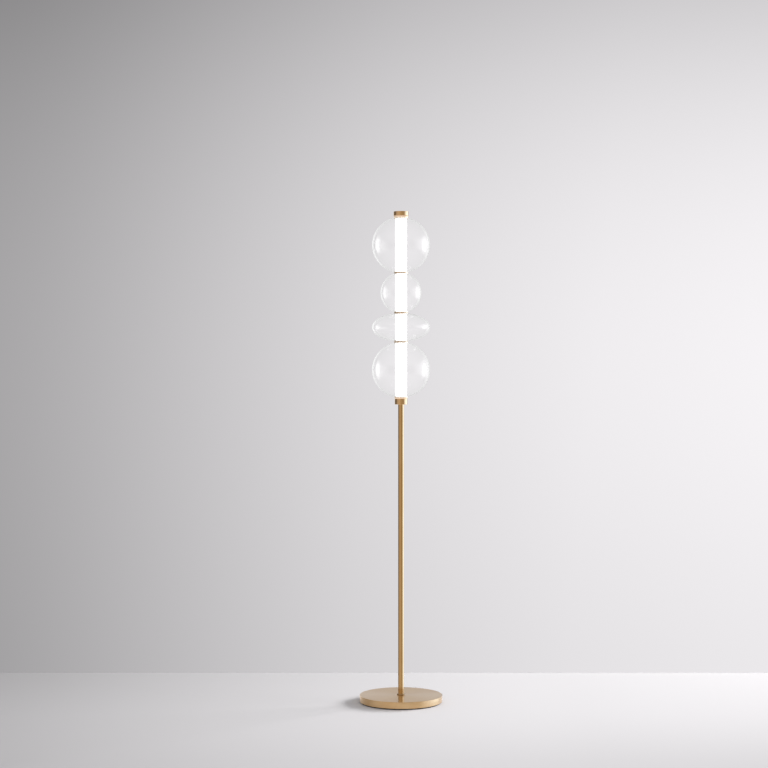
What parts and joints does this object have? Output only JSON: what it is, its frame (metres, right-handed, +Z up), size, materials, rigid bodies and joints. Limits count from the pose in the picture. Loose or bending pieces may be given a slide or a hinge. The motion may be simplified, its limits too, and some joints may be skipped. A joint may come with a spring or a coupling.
{
  "type": "floor lamp",
  "caption": "Brass column floor lamp: weighted disc base, slim stem, and a glowing opal tube through clear blown-glass globes parted by brass rings, held by a screw-on end cap.",
  "frame": {"origin": "on the floor, under the centre of the base, on the stem's axis", "axes": "+Z up along the stem; +Y towards the back, where the cord inlet is; -Y towards the viewer of the picture; +X to the viewer's right"},
  "size_m": [0.27, 0.27, 1.6041],
  "materials": {
    "satin_brass": "fine satin brushed, lacquered",
    "clear_glass": "clear, mouth-blown, polished",
    "opal_diffuser": "opal acrylic, lit from inside",
    "black_rubber": "matt moulded",
    "cast_iron": "as cast, black primer",
    "zinc_steel": "bright zinc plated",
    "core_aluminium": "extruded, clear anodised",
    "white_plastic": "moulded nylon",
    "circuit_board": "white solder mask",
    "lead_sheath": "silicone sheath",
    "clear_silicone": "clear silicone"
  },
  "bodies": {
    "frame": {"base_cover": "satin_brass", "base_weight": "cast_iron", "base_bottom_plate": "zinc_steel", "base_plate_screws": "zinc_steel", "base_pad": "black_rubber", "cord_gland": "black_rubber", "led_driver": "white_plastic", "driver_screws": "zinc_steel", "led_lead": "lead_sheath", "stem_tube": "satin_brass", "foot_flange": "zinc_steel", "flange_screws": "zinc_steel", "foot_collar": "satin_brass", "lower_cap": "satin_brass", "stem_lock_screw": "zinc_steel", "lower_collar": "satin_brass", "tie_rod": "zinc_steel", "core_foot": "white_plastic", "feed_board": "circuit_board", "led_core": "core_aluminium", "led_strips": "circuit_board", "core_guide": "white_plastic", "core_washer": "zinc_steel", "core_nut": "zinc_steel", "diffuser_tube": "opal_diffuser", "globe_bottom": "clear_glass", "globe_disc": "clear_glass", "globe_small": "clear_glass", "globe_top": "clear_glass", "ring_lower": "satin_brass", "ring_middle": "satin_brass", "ring_upper": "satin_brass", "neck_gaskets": "clear_silicone"},
    "collar": {"top_collar": "satin_brass"},
    "cap": {"top_cap": "satin_brass", "collar_clip": "zinc_steel"}
  },
  "joints": [
    {"name": "cap_rise", "type": "slide", "parent": "frame", "child": "collar", "axis": [0, 0, 1], "range_m": [0, 0.006]},
    {"name": "cap_turn", "type": "hinge", "parent": "collar", "child": "cap", "pos_m": [0, 0, 1.59], "axis": [0, 0, 1], "range_deg": [0, 2160]}
  ],
  "couplings": [
    {"joint": "cap_rise", "follows": "cap_turn", "m_per_rad": 0.00015915}
  ]
}
